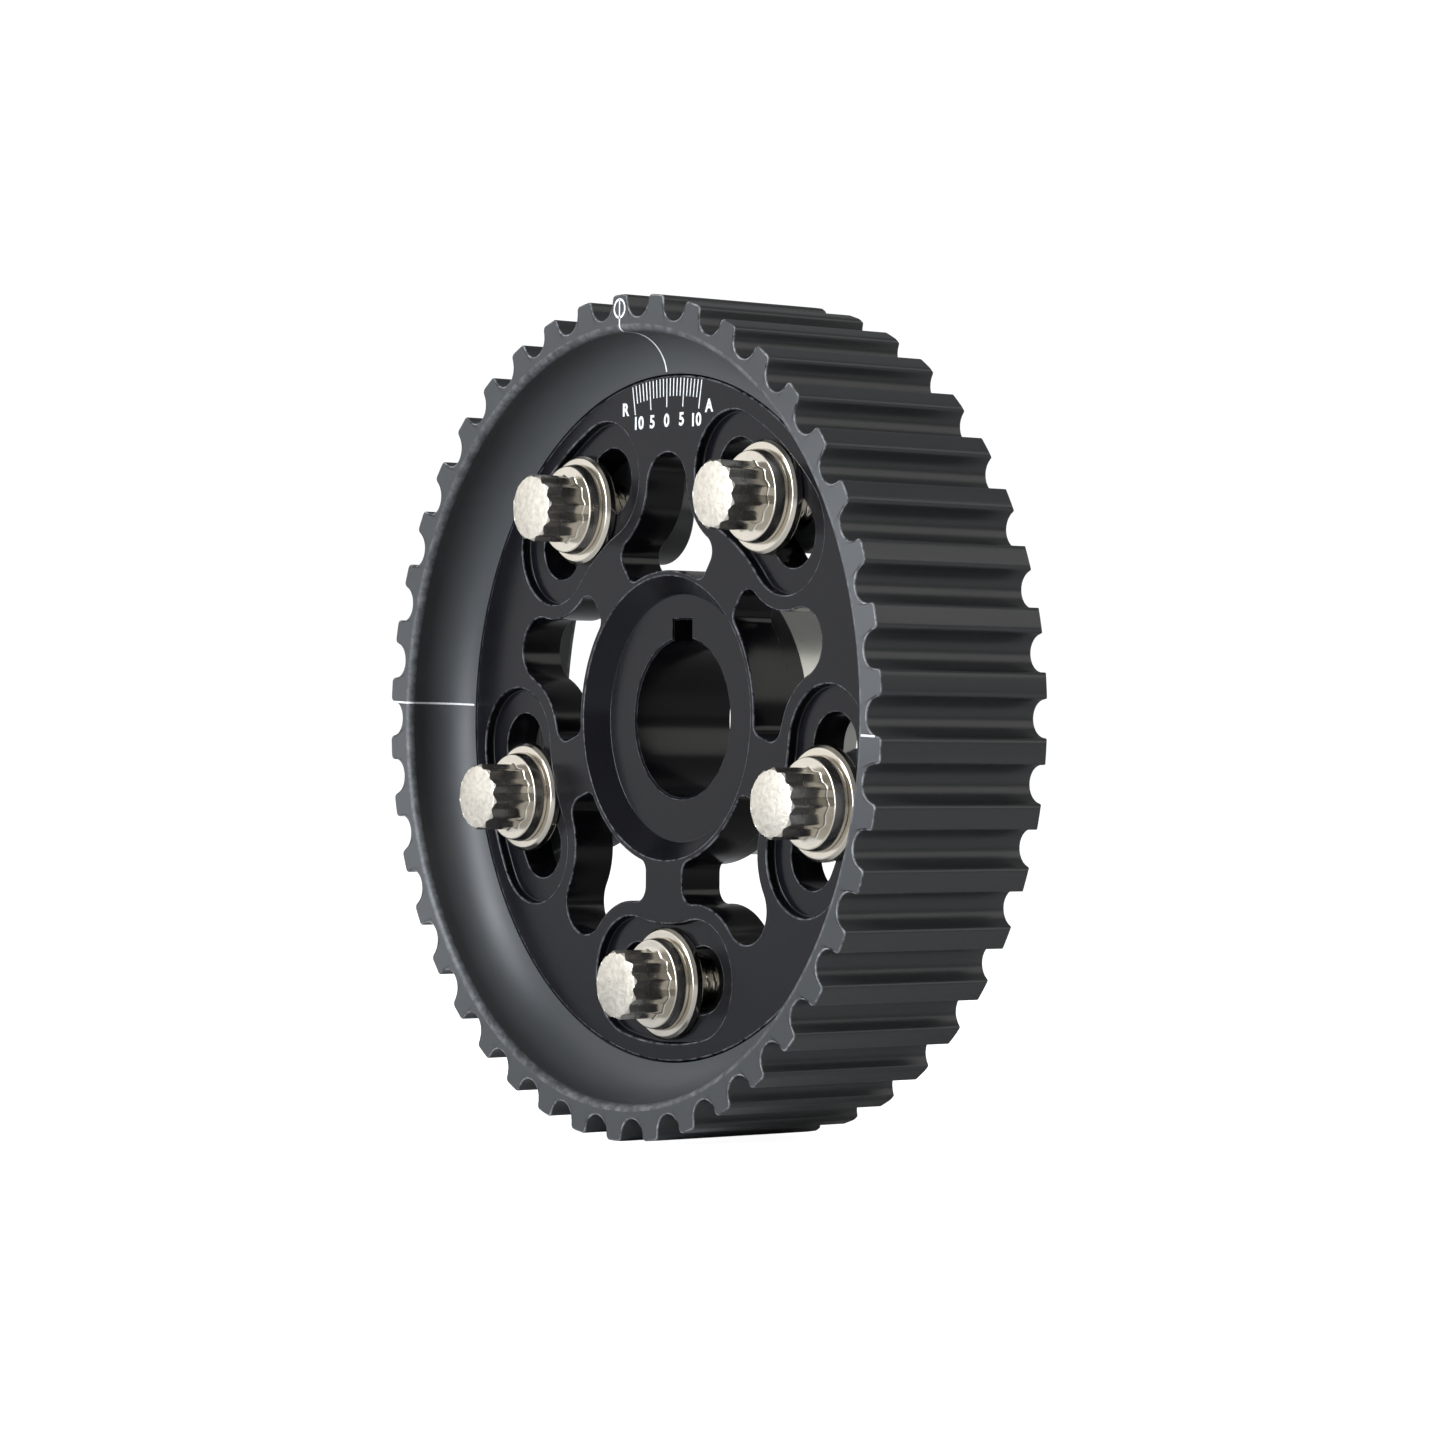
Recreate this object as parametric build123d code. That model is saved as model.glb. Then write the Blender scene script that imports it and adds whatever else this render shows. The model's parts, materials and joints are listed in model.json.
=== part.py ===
from build123d import *
import math
import os

# Adjustable (vernier) timing belt pulley, millimetres.
# The shaft axis is Y, the dial side faces -Y and +Z runs up through the keyway and the dial's zero.
# The origin is on the axis, half way along the toothed face.  "depth" is measured from the toothed
# ring's front face towards +Y.

# --- toothed ring -------------------------------------------------------------------------------
TEETH = 42
BELT_PITCH = 9.525
PITCH_LINE_OFFSET = 0.686  # belt pitch line to tooth tip
FACE_WIDTH = 30.4
GROOVE_DEPTH = 3.4
GROOVE_RADIUS = 2.75
TIP_BLEND = 0.75
TOOTH_END_CHAMFER = 0.5
RING_WALL = 5.5  # tooth tip to the front and rear mouths
MOUTH_LIP = 1.0  # rounded lip of both mouths
BOWL_RADIUS = 6.4  # hollow that falls from the front mouth to the plate
LEDGE_WIDTH = 1.9  # how far the ledge reaches under the plate's rim
LEDGE_THICK = 4.0
REAR_BORE_STEP = 1.0  # rear bore is this much smaller than the rear mouth
REAR_CORNER = 2.5
LUG_RADIUS = 8.0
LUG_THICK = 9.5

# --- hub plate ----------------------------------------------------------------------------------
PLATE_DEPTH = 8.8  # plate's front face below the ring's front face
PLATE_THICK = 7.1
BOWL_WIDTH = 6.1  # from the ring's front mouth in to the plate's rim
PILOT_CLEARANCE = 0.25  # plate rim inside the ring
SEAT_GAP = 0.05  # plate's rear face off the ledge and the lugs
EDGE_BREAK = 0.3
COLLAR_RADIUS = 22.2
COLLAR_RELIEF = 0.15  # the collar is this much slimmer behind the plate
COLLAR_LENGTH = 10.2  # from the plate's front face to the sleeve
FUNNEL_LAND = 0.8  # flat left between the funnel and the windows
FACE_RADIUS = 18.65  # sunk face that the shaft's bolt bears on
FACE_DEPTH = 3.2  # sunk face below the plate's front face
BOSS_RADIUS = 18.6
BOSS_LENGTH = 18.0  # from the sunk face to the rear end
BORE_DIAMETER = 24.0
BORE_CHAMFER = 0.5
KEY_WIDTH = 5.0
KEY_TOP = 14.8  # keyway's roof above the axis
SLEEVE_WALL = 2.0
SLEEVE_FIT = 0.02  # radial gap left between the boss and the sleeve
SLEEVE_CHAMFER = 0.6

# --- windows ------------------------------------------------------------------------------------
SPOKES = 5
SPOKE_WIDTH = 9.4
POCKET_RIB = 2.35  # wall between a window and its neighbouring pockets
WINDOW_RIM = 11.5  # from a window's outer end to the plate's rim
WINDOW_FOOT_ROUND = 1.8
WINDOW_LOBE_ROUND = 2.4

# --- clamp bolts, washers and their pockets --------------------------------------------------------
POCKET_EDGE = 2.6  # wall between a pocket and the plate's rim
ADJUST_ANGLE = 12.0  # travel of the ring to each side of zero
WASHER_RADIUS = 8.45
WASHER_THICK = 1.6
WASHER_BEVEL = 0.5  # front rim
WASHER_REAR_BEVEL = 0.25
POCKET_CLEARANCE = 0.5  # around the washer
POCKET_SINK = 1.5
SLOT_CLEARANCE = 1.0  # around the bolt's shank
THREAD_RADIUS = 4.0
THREAD_PITCH = 1.25
THREAD_DEPTH = 0.6
THREAD_ROOT = 0.1  # share of the pitch that is flat at the root, and again at the crest
THREAD_CLEARANCE = 0.1  # around the bolt in the lug's hole
WASHER_CLEARANCE = 0.2  # around the shank in the washer's hole
CONTACT_GAP = 0.02  # flat faces of washer, flange and pocket
BOLT_LENGTH = 20.0
PLAIN_SHANK = 3.0
FLANGE_RADIUS = 7.0
FLANGE_TOP_RADIUS = 6.6
FLANGE_THICK = 2.1
FLANGE_EDGE = 0.5  # upright edge below the flange's slope
HEAD_POINTS = 12
HEAD_RADIUS = 5.25
HEAD_VALLEY = 4.7
HEAD_HEIGHT = 6.8
HEAD_DOME = 0.35  # the crown's rise
HEAD_CHAMFER = 0.45

NEAR = 0.01  # edges this close to a place count as lying on it
PAST = 1.0  # how far a cutter runs past the face that it cuts

# --- worked out -----------------------------------------------------------------------------------
TIP_RADIUS = TEETH * BELT_PITCH / (2 * math.pi) - PITCH_LINE_OFFSET
FRONT = -FACE_WIDTH / 2
MOUTH_RADIUS = TIP_RADIUS - RING_WALL
PLATE_FRONT = FRONT + PLATE_DEPTH
PLATE_REAR = PLATE_FRONT + PLATE_THICK
PLATE_RADIUS = MOUTH_RADIUS - BOWL_WIDTH
PILOT_RADIUS = PLATE_RADIUS + PILOT_CLEARANCE
LEDGE_FRONT = PLATE_REAR + SEAT_GAP
COLLAR_REAR = PLATE_FRONT + COLLAR_LENGTH
SUNK_FACE = PLATE_FRONT + FACE_DEPTH
BOSS_REAR = SUNK_FACE + BOSS_LENGTH
POCKET_FLOOR = PLATE_FRONT + POCKET_SINK
WASHER_REAR = POCKET_FLOOR - CONTACT_GAP
WASHER_FRONT = WASHER_REAR - WASHER_THICK
FLANGE_REAR = WASHER_FRONT - CONTACT_GAP
POCKET_RADIUS = WASHER_RADIUS + POCKET_CLEARANCE
SLOT_RADIUS = THREAD_RADIUS + SLOT_CLEARANCE
BOLT_CIRCLE = PLATE_RADIUS - POCKET_EDGE - POCKET_RADIUS
PITCH_ANGLE = 360 / SPOKES
BOLT_ANGLES = [PITCH_ANGLE * (i + 0.5) for i in range(SPOKES)]  # clockwise from the top


def along_y(radius, y0, y1, x=0.0, z=0.0):
    """A round bar whose axis runs along Y from y0 to y1."""
    plane = Plane(origin=(x, y0, z), x_dir=(1, 0, 0), z_dir=(0, 1, 0))
    return extrude(plane * Circle(radius), y1 - y0)


def facing_front(y):
    """Sketch plane square to the axis at y: its X is the part's X and its Y is the part's Z."""
    return Plane(origin=(0, y, 0), x_dir=(1, 0, 0), z_dir=(0, -1, 0))


def prism(sketch, y0, y1):
    """A front-plane sketch swept from y1 forward to y0."""
    return extrude(facing_front(y1) * sketch, y1 - y0)


def inside(*curves):
    """The face inside curves that meet end to end."""
    return make_face([edge for curve in curves for edge in curve.edges()])


def turned(*curves):
    """A solid of revolution about the shaft axis, from (radius, y) curves that close up."""
    return revolve(inside(*curves), Axis.Y)


def clockwise(shape, degrees):
    """The shape turned clockwise about the shaft axis, as seen from the front."""
    return Rot(0, degrees, 0) * shape


def on_circle(radius, degrees):
    """(x, z) of a point on a circle round the shaft, clockwise from the top."""
    a = math.radians(degrees)
    return radius * math.sin(a), radius * math.cos(a)


def tooth_groove():
    """One belt groove at the top: a round-bottomed cut whose mouth blends into the tooth tips."""
    centre = TIP_RADIUS - GROOVE_DEPTH + GROOVE_RADIUS
    reach = GROOVE_RADIUS + TIP_BLEND
    blend = TIP_RADIUS - TIP_BLEND
    # The blend circle touches the tip circle from inside and the groove circle from outside.
    z = (centre**2 + blend**2 - reach**2) / (2 * centre)
    x = math.sqrt(blend**2 - z**2)
    tip_x, tip_z = (v * TIP_RADIUS / blend for v in (x, z))
    share = GROOVE_RADIUS / reach
    side_x = x * share
    side_z = centre + (z - centre) * share
    mid = math.hypot(side_x + tip_x - 2 * x, side_z + tip_z - 2 * z)
    mid_x = x + (side_x + tip_x - 2 * x) * TIP_BLEND / mid
    mid_z = z + (side_z + tip_z - 2 * z) * TIP_BLEND / mid
    above = TIP_RADIUS + PAST
    return inside(
        ThreePointArc((-side_x, side_z), (0, centre - GROOVE_RADIUS), (side_x, side_z)),
        ThreePointArc((side_x, side_z), (mid_x, mid_z), (tip_x, tip_z)),
        Polyline((tip_x, tip_z), (tip_x, above), (-tip_x, above), (-tip_x, tip_z)),
        ThreePointArc((-tip_x, tip_z), (-mid_x, mid_z), (-side_x, side_z)),
    )


def ring_blank():
    """The ring turned on a lathe: bowl, pilot bore, ledge and rear bore, without teeth or lugs."""
    rear = FRONT + FACE_WIDTH
    bowl_centre = PLATE_FRONT - BOWL_RADIUS
    bowl_axis = MOUTH_RADIUS - BOWL_RADIUS
    foot_y = bowl_centre + math.sqrt(BOWL_RADIUS**2 - (PILOT_RADIUS - bowl_axis) ** 2)
    half = math.radians(45)
    bowl_mid = (bowl_axis + BOWL_RADIUS * math.cos(half), bowl_centre + BOWL_RADIUS * math.sin(half))
    ledge_rear = LEDGE_FRONT + LEDGE_THICK
    ledge_radius = PLATE_RADIUS - LEDGE_WIDTH
    rear_bore = MOUTH_RADIUS - REAR_BORE_STEP
    tip = TIP_RADIUS
    cut = TOOTH_END_CHAMFER
    lip = MOUTH_LIP
    far = lip * (1 - math.sqrt(0.5))
    outline = inside(
        Polyline((MOUTH_RADIUS + lip, FRONT), (tip - cut, FRONT), (tip, FRONT + cut)),
        Line((tip, FRONT + cut), (tip, rear - cut)),
        Polyline((tip, rear - cut), (tip - cut, rear), (rear_bore + lip, rear)),
        ThreePointArc((rear_bore + lip, rear), (rear_bore + far, rear - far), (rear_bore, rear - lip)),
        Line((rear_bore, rear - lip), (rear_bore, ledge_rear)),
        Line((rear_bore, ledge_rear), (ledge_radius, ledge_rear)),
        Line((ledge_radius, ledge_rear), (ledge_radius, LEDGE_FRONT)),
        Line((ledge_radius, LEDGE_FRONT), (PILOT_RADIUS, LEDGE_FRONT)),
        Line((PILOT_RADIUS, LEDGE_FRONT), (PILOT_RADIUS, foot_y)),
        ThreePointArc((PILOT_RADIUS, foot_y), bowl_mid, (MOUTH_RADIUS, bowl_centre)),
        Line((MOUTH_RADIUS, bowl_centre), (MOUTH_RADIUS, FRONT + lip)),
        ThreePointArc(
            (MOUTH_RADIUS, FRONT + lip), (MOUTH_RADIUS + far, FRONT + far), (MOUTH_RADIUS + lip, FRONT)
        ),
    )
    corner = outline.vertices().sort_by_distance((rear_bore, ledge_rear, 0))[0]
    return revolve(fillet(corner, REAR_CORNER), Axis.Y)


def lug(angle):
    """A threaded lug behind one pocket, reaching in from the ring's rear bore."""
    reach = MOUTH_RADIUS - REAR_BORE_STEP + PAST
    foot = Pos(0, (BOLT_CIRCLE + reach) / 2) * Rectangle(2 * LUG_RADIUS, reach - BOLT_CIRCLE)
    outline = foot + Pos(0, BOLT_CIRCLE) * Circle(LUG_RADIUS)
    body = prism(outline, LEDGE_FRONT, LEDGE_FRONT + LUG_THICK)
    hole = along_y(THREAD_RADIUS + THREAD_CLEARANCE, FRONT, FRONT + FACE_WIDTH, 0, BOLT_CIRCLE)
    return clockwise(body, angle), clockwise(hole, angle)


def ring_gear():
    """Toothed outer ring: teeth outside, a bowl in front, a ledge and threaded lugs behind the plate."""
    ring = ring_blank()
    for angle in BOLT_ANGLES:
        body, hole = lug(angle)
        ring = ring + body - hole
    groove = prism(tooth_groove(), FRONT - PAST, FRONT + FACE_WIDTH + PAST)
    step = 360 / TEETH
    return ring - [clockwise(groove, step * (i + 0.5)) for i in range(TEETH)]


def window_outline():
    """One lightening window, centred on the top: foot on the collar, sides bowed round the pockets."""
    spoke = math.radians(PITCH_ANGLE / 2)
    side = POCKET_RADIUS + POCKET_RIB
    pocket_x, pocket_z = on_circle(BOLT_CIRCLE, PITCH_ANGLE / 2 - ADJUST_ANGLE)
    away = pocket_x * math.cos(spoke) - pocket_z * math.sin(spoke)
    along = pocket_x * math.sin(spoke) + pocket_z * math.cos(spoke)
    edge = -SPOKE_WIDTH / 2

    def on_spoke_side(distance):
        x = edge * math.cos(spoke) + distance * math.sin(spoke)
        z = -edge * math.sin(spoke) + distance * math.cos(spoke)
        return x, z

    foot = on_spoke_side(math.sqrt(COLLAR_RADIUS**2 - edge**2))
    lobe = on_spoke_side(along - math.sqrt(side**2 - (away - edge) ** 2))
    longest_round = math.dist(foot, lobe) / 2
    # The round outer end reaches the rim wall and touches both bowed sides.
    top = PLATE_RADIUS - WINDOW_RIM
    drop = pocket_z - top
    end = (pocket_x**2 + drop**2 - side**2) / (2 * (side - drop))
    end_z = top - end
    share = end / (side + end)
    touch = (pocket_x * share, end_z + (pocket_z - end_z) * share)
    apex = on_spoke_side(edge / math.tan(spoke))
    half = make_face(Polyline(apex, lobe, touch, (0, touch[1]), close=True))
    outline = half + mirror(half, Plane.YZ) + Pos(0, end_z) * Circle(end)
    for x in (-pocket_x, pocket_x):
        outline -= Pos(x, pocket_z) * Circle(side)
    outline -= Circle(COLLAR_RADIUS)
    feet = [v for v in outline.vertices() if abs(math.hypot(v.X, v.Y) - COLLAR_RADIUS) < NEAR]
    outline = fillet(feet, min(WINDOW_FOOT_ROUND, longest_round))
    lobes = [v for v in outline.vertices() if math.dist((abs(v.X), v.Y), lobe) < NEAR]
    return fillet(lobes, min(WINDOW_LOBE_ROUND, longest_round))


def curved_slot(radius):
    """A slot that follows the bolt circle, centred on the top, with round ends."""
    arc = CenterArc((0, 0), BOLT_CIRCLE, 90 - ADJUST_ANGLE, 2 * ADJUST_ANGLE)
    return SlotArc(arc, 2 * radius)


def bore_space():
    """The bore with a bevelled mouth at the sunk face and at the rear."""
    bore = BORE_DIAMETER / 2
    mouth = bore + BORE_CHAMFER
    return turned(
        Polyline(
            (0, SUNK_FACE - PAST),
            (mouth, SUNK_FACE - PAST),
            (mouth, SUNK_FACE),
            (bore, SUNK_FACE + BORE_CHAMFER),
            (bore, BOSS_REAR - BORE_CHAMFER),
            (mouth, BOSS_REAR),
            (mouth, BOSS_REAR + PAST),
            (0, BOSS_REAR + PAST),
            (0, SUNK_FACE - PAST),
        )
    )


def hub():
    """Inner plate with its collar, sunk face, boss and keyed bore, cut by windows, pockets and slots."""
    body = along_y(PLATE_RADIUS, PLATE_FRONT, PLATE_REAR)
    body -= turned(
        Polyline(
            (0, PLATE_FRONT - PAST),
            (COLLAR_RADIUS - FUNNEL_LAND, PLATE_FRONT - PAST),
            (COLLAR_RADIUS - FUNNEL_LAND, PLATE_FRONT),
            (FACE_RADIUS, SUNK_FACE),
            (0, SUNK_FACE),
            (0, PLATE_FRONT - PAST),
        )
    )
    window = prism(window_outline(), PLATE_FRONT - PAST, PLATE_REAR + PAST)
    pocket = prism(curved_slot(POCKET_RADIUS), PLATE_FRONT - PAST, POCKET_FLOOR)
    slot = prism(curved_slot(SLOT_RADIUS), PLATE_FRONT - PAST, PLATE_REAR + PAST)
    for angle in BOLT_ANGLES:
        body -= clockwise(window, angle - PITCH_ANGLE / 2)
        body -= clockwise(pocket, angle)
        body -= clockwise(slot, angle)
    rims = body.edges().filter_by_position(Axis.Y, PLATE_FRONT - NEAR, PLATE_FRONT + NEAR)
    body = chamfer(rims, EDGE_BREAK)
    body += along_y(COLLAR_RADIUS - COLLAR_RELIEF, PLATE_REAR, COLLAR_REAR)
    body += along_y(BOSS_RADIUS, PLATE_REAR, BOSS_REAR)
    body -= bore_space()
    key_outline = Pos(0, KEY_TOP / 2) * Rectangle(KEY_WIDTH, KEY_TOP)
    return body - prism(key_outline, PLATE_FRONT, BOSS_REAR + PAST)


def sleeve():
    """Bright sleeve pressed over the boss behind the collar."""
    inner = BOSS_RADIUS + SLEEVE_FIT
    outer = BOSS_RADIUS + SLEEVE_WALL
    return turned(
        Polyline(
            (inner, COLLAR_REAR),
            (outer, COLLAR_REAR),
            (outer, BOSS_REAR - SLEEVE_CHAMFER),
            (outer - SLEEVE_CHAMFER, BOSS_REAR),
            (inner, BOSS_REAR),
            (inner, COLLAR_REAR),
        )
    )


def at_bolt(shape, angle):
    """A shape made round the Y axis, moved to one bolt position."""
    x, z = on_circle(BOLT_CIRCLE, angle)
    return Pos(x, 0, z) * shape


def washer():
    """Thick flat washer with bevelled rims."""
    hole = THREAD_RADIUS + WASHER_CLEARANCE
    front, rear = WASHER_FRONT, WASHER_REAR
    return turned(
        Polyline(
            (hole, front),
            (WASHER_RADIUS - WASHER_BEVEL, front),
            (WASHER_RADIUS, front + WASHER_BEVEL),
            (WASHER_RADIUS, rear - WASHER_REAR_BEVEL),
            (WASHER_RADIUS - WASHER_REAR_BEVEL, rear),
            (hole, rear),
            (hole, front),
        )
    )


def head_outline():
    """Twelve-point socket outline of the bolt head."""
    points = []
    for i in range(2 * HEAD_POINTS):
        a = math.radians(180 / HEAD_POINTS * i)
        r = HEAD_VALLEY if i % 2 else HEAD_RADIUS
        points.append((r * math.sin(a), r * math.cos(a)))
    return make_face(Polyline(*points, close=True))


def head(top):
    """The bolt's head above the flange: twelve points, bevelled at the crown and slightly domed."""
    crown = top - HEAD_HEIGHT
    shoulder = crown + HEAD_DOME
    rim = HEAD_RADIUS - HEAD_CHAMFER
    dome = turned(
        Polyline((0, top), (HEAD_RADIUS, top), (HEAD_RADIUS, shoulder + HEAD_CHAMFER), (rim, shoulder)),
        ThreePointArc((rim, shoulder), (rim / 2, crown + HEAD_DOME / 4), (0, crown)),
        Line((0, crown), (0, top)),
    )
    return prism(head_outline(), crown, top) & dome


def bolt():
    """Twelve-point flange bolt: head, sloped flange, plain shank and ringed thread."""
    top = FLANGE_REAR - FLANGE_THICK
    root = THREAD_RADIUS - THREAD_DEPTH
    tail = FLANGE_REAR + BOLT_LENGTH
    start = FLANGE_REAR + PLAIN_SHANK
    flat = THREAD_ROOT * THREAD_PITCH
    flank = THREAD_PITCH / 2 - flat
    thread = [(THREAD_RADIUS, FLANGE_REAR), (THREAD_RADIUS, start)]
    for i in range(int((tail - start) / THREAD_PITCH)):
        y = start + THREAD_PITCH * i
        thread += [(root, y + flank), (root, y + flank + flat)]
        thread += [(THREAD_RADIUS, y + 2 * flank + flat), (THREAD_RADIUS, y + THREAD_PITCH)]
    shank = turned(
        Polyline(
            (0, top),
            (FLANGE_TOP_RADIUS, top),
            (FLANGE_RADIUS, FLANGE_REAR - FLANGE_EDGE),
            (FLANGE_RADIUS, FLANGE_REAR),
            *thread,
            (root, tail),
            (0, tail),
            (0, top),
        )
    )
    return head(top) + shank


def write(shape, name):
    """One node: its STEP file carries its name."""
    export_step(shape, f"parts/{name}.step")


def main():
    os.makedirs("parts", exist_ok=True)
    write(ring_gear(), "ring_gear")
    write(hub(), "hub")
    write(sleeve(), "boss_sleeve")
    one_washer = washer()
    one_bolt = bolt()
    for number, angle in enumerate(BOLT_ANGLES, 1):
        write(at_bolt(one_washer, angle), f"washer_{number}")
        write(at_bolt(one_bolt, angle), f"clamp_bolt_{number}")


main()
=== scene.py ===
import json
import math

import bmesh
import bpy
import numpy as np
from mathutils import Matrix, Vector
from mathutils.geometry import tessellate_polygon


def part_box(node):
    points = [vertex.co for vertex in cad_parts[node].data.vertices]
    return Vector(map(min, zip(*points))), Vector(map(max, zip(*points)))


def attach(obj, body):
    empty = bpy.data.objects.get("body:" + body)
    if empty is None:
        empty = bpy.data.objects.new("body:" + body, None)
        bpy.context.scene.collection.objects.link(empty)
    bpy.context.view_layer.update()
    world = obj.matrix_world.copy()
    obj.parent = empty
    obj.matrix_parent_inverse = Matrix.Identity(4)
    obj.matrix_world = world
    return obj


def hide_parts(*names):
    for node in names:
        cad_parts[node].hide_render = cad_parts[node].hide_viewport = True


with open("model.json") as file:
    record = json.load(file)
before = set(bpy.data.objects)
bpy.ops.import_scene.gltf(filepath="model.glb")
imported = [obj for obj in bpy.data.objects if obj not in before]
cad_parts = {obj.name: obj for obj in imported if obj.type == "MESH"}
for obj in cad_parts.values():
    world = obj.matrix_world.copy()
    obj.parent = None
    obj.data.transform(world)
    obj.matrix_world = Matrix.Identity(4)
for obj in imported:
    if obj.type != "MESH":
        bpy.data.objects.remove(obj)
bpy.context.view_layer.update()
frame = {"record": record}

# ---------------------------------------------------------------------------------------------
# Hub plate.  A disc turned from aluminium bar, then milled: five lightening windows, five sunk
# pockets with through slots, a funnel down to the sunk bolt seat, and a keyed bore in a long boss.
# It is black anodised, and its edges are lightly broken, so they catch the light as thin lines.

# Sizes are in metres.  Angles are degrees clockwise from the top, seen from the dial side.
MM = 0.001
hub_low, hub_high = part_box("hub")
ring_low, ring_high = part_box("ring_gear")
SPOKES = 5
PITCH_ANGLE = 360 / SPOKES
BOLT_ANGLES = [PITCH_ANGLE * (i + 0.5) for i in range(SPOKES)]
PLATE_RADIUS = hub_high.x
PLATE_FRONT = hub_low.y
PLATE_REAR = PLATE_FRONT + 7.1 * MM
BOSS_REAR = hub_high.y
POCKET_FLOOR = PLATE_FRONT + 1.5 * MM
SUNK_FACE = PLATE_FRONT + 3.2 * MM
COLLAR_REAR = PLATE_FRONT + 10.2 * MM
COLLAR_RADIUS = 22.2 * MM
COLLAR_BACK_RADIUS = COLLAR_RADIUS - 0.15 * MM
FUNNEL_RADIUS = COLLAR_RADIUS - 0.8 * MM
FACE_RADIUS = 18.65 * MM
BOSS_RADIUS = 18.6 * MM
BORE_RADIUS = frame["record"]["mounts"][0]["dims"]["r_mm"] * MM
BORE_CHAMFER = 0.3 * MM
KEY_WIDTH = 5.0 * MM
KEY_TOP = 14.8 * MM
POCKET_RADIUS = 8.95 * MM
SLOT_RADIUS = 5.0 * MM
ADJUST_ANGLE = 12.0
BOLT_CIRCLE = PLATE_RADIUS - 2.6 * MM - POCKET_RADIUS
SPOKE_WIDTH = 9.4 * MM
RIB_RADIUS = POCKET_RADIUS + 2.35 * MM
WINDOW_TOP = PLATE_RADIUS - 11.5 * MM
FOOT_ROUND = 1.8 * MM
LOBE_ROUND = 2.4 * MM
EDGE = 0.22 * MM
REAR_EDGE = 0.1 * MM
SUPPORT = 0.04 * MM
INNER_ROUND = 0.3 * MM
CORE_RADIUS = KEY_TOP + 1.4 * MM  # outside it the core's flat faces are round again
ARC_STEP = 12  # degrees between the rows of a rounded corner
SHARP_ANGLE = 32
WELD = 1e-8


def at(radius, degrees):
    """(x, z) on a circle round the shaft: radius times the sine and cosine of the angle."""
    a = np.radians(degrees)
    return np.array([radius * np.sin(a), radius * np.cos(a)])


def arc_path(arcs):
    """A closed outline of arcs that meet in a tangent, as points and outward directions.

    An arc is (centre, radius, first angle, last angle, steps).  A point is the centre plus the
    radius times the sine and cosine of its angle.  A negative radius is an arc that is hollow from
    inside, so its outward direction points at its centre.
    """
    points, normals = [], []
    for centre, radius, first, last, steps in arcs:
        a = np.radians(np.linspace(first, last, steps + 1))
        ray = np.stack([np.sin(a), np.cos(a)], -1)
        points.append(np.asarray(centre) + abs(radius) * ray)
        normals.append(ray * np.sign(radius))
    points, normals = np.concatenate(points), np.concatenate(normals)
    apart = np.linalg.norm(points - np.roll(points, 1, 0), axis=1) > 1e-7
    return points[apart], normals[apart]


def circle(radius, steps):
    """A round outline, radius times sine and cosine."""
    return arc_path([((0, 0), radius, 0, 360, steps)])


def rounded(*corners):
    """A profile of straight runs with rounded corners, as rows of (offset, depth, wear).

    A corner is (offset, depth, radius).  Its arc of that radius touches both runs and is sampled in
    equal steps, and a support row beside each end keeps flat faces flat in their shading.
    A negative radius is an inner corner, which takes no wear; an end has radius 0.
    """
    rows = [(*corners[0][:2], 0.0)]
    for before, corner, after in zip(corners, corners[1:], corners[2:]):
        here = np.array(corner[:2])
        radius = abs(corner[2])
        if radius == 0:
            rows.append((*here, 0.0))
            continue
        back = np.array(before[:2]) - here
        on = np.array(after[:2]) - here
        back, on = back / np.linalg.norm(back), on / np.linalg.norm(on)
        half = math.acos(np.clip(back @ on, -1, 1)) / 2
        reach = radius / math.tan(half)
        centre = here + (back + on) / np.linalg.norm(back + on) * radius / math.sin(half)
        first, last = here + back * reach - centre, here + on * reach - centre
        sweep = math.pi - 2 * half
        s = np.linspace(0, 1, max(4, int(math.degrees(sweep) / ARC_STEP)))[:, None]
        swung = np.sin((1 - s) * sweep) * first + np.sin(s * sweep) * last
        arc = centre + swung / math.sin(sweep)
        wear = float(corner[2] > 0)
        rows.append((*(here + back * (reach + SUPPORT)), 0.0))
        rows += [(*p, wear) for p in arc]
        rows.append((*(here + on * (reach + SUPPORT)), 0.0))
    rows.append((*corners[-1][:2], 0.0))
    return np.array(rows)


def carried(path, profile):
    """A profile carried along an outline: each point plus the offset times its direction."""
    points, normals = path
    offset, depth, wear = (profile[:, None, i] for i in range(3))
    flat = points[None] + offset[..., None] * normals[None]
    depth = np.broadcast_to(depth, flat.shape[:2])
    wear = np.broadcast_to(wear, flat.shape[:2])
    return np.stack([flat[..., 0], depth, flat[..., 1], wear], -1)


def turned(degrees, sheet):
    """A sheet of (x, depth, z, wear) turned clockwise about the shaft."""
    a = math.radians(degrees)
    x, z = sheet[..., 0], sheet[..., 2]
    out = sheet.copy()
    out[..., 0] = x * math.cos(a) + z * math.sin(a)
    out[..., 2] = z * math.cos(a) - x * math.sin(a)
    return out


def sheet_triangles(rows, columns, start):
    """Two triangles for each cell of a grid whose columns close up."""
    r, c = np.meshgrid(np.arange(rows - 1), np.arange(columns), indexing="ij")
    a, b = r * columns + c, r * columns + (c + 1) % columns
    d, e = a + columns, b + columns
    cells = np.stack([np.stack([a, b, e], -1), np.stack([a, e, d], -1)], -2)
    return cells.reshape(-1, 3) + start


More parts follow.
